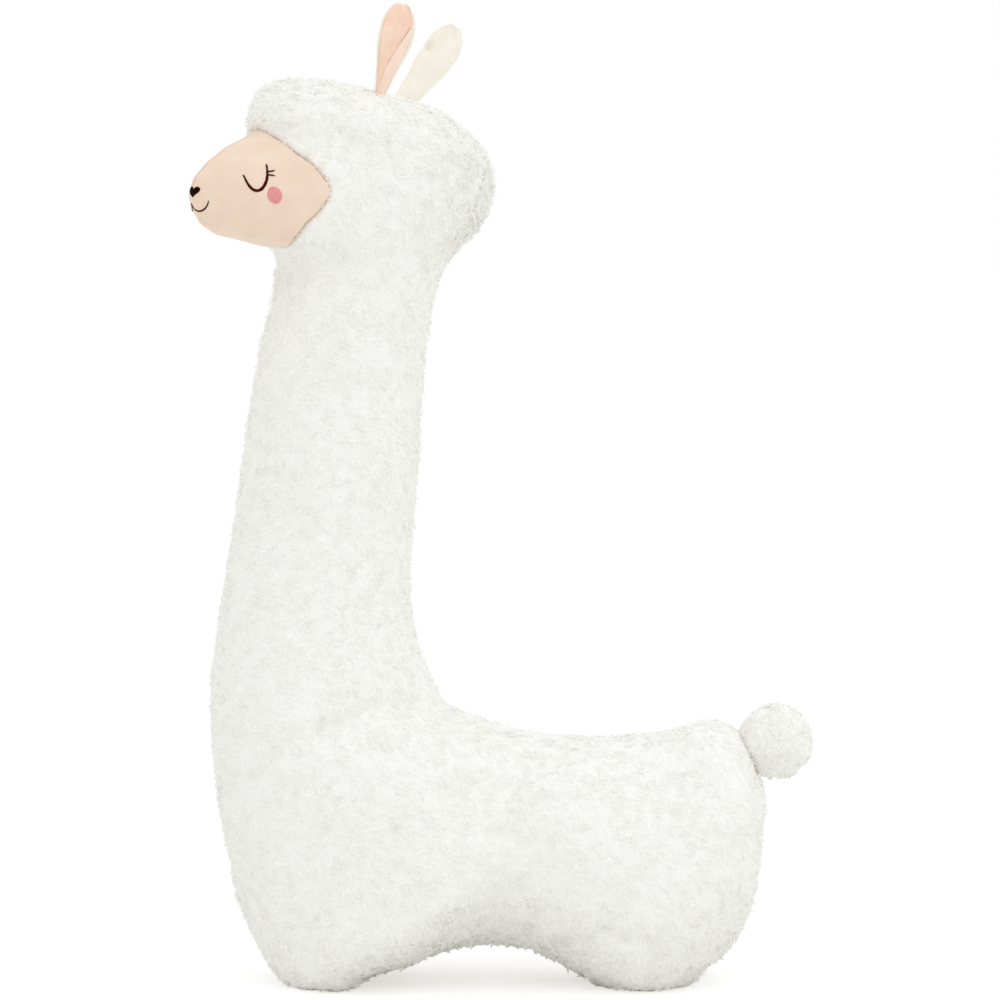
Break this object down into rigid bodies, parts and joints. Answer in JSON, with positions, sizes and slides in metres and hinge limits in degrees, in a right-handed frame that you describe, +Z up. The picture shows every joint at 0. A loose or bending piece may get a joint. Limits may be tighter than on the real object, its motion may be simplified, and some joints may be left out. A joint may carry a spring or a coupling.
{
  "type": "plush alpaca",
  "caption": "Large standing plush alpaca of white curly fleece with a long upright neck, peach velour face with closed embroidered eyes, folded ears and a ball tail.",
  "frame": {"origin": "middle of the bounding box, on the floor that the feet stand on", "axes": "+Z up, -X the way the alpaca faces, +X towards its tail, -Y its left side"},
  "size_m": [0.6116, 0.226, 0.9817],
  "materials": {
    "white_fleece": "short curly sherpa fleece, matte",
    "peach_velour": "short velour, matte",
    "cream_velour": "short velour, matte",
    "ear_lining_velour": "short velour, matte",
    "brown_thread": "satin-stitched embroidery thread",
    "pink_thread": "satin-stitched embroidery thread"
  },
  "bodies": {
    "root": {"body": "white_fleece", "tail": "white_fleece", "face": "peach_velour", "left_ear_back": "cream_velour", "right_ear_back": "cream_velour", "left_ear_lining": "ear_lining_velour", "right_ear_lining": "ear_lining_velour", "left_eyelid": "brown_thread", "left_upper_lash": "brown_thread", "left_lower_lash": "brown_thread", "right_eyelid": "brown_thread", "right_upper_lash": "brown_thread", "right_lower_lash": "brown_thread", "nose": "brown_thread", "mouth": "brown_thread", "left_cheek": "pink_thread", "right_cheek": "pink_thread"}
  },
  "joints": []
}
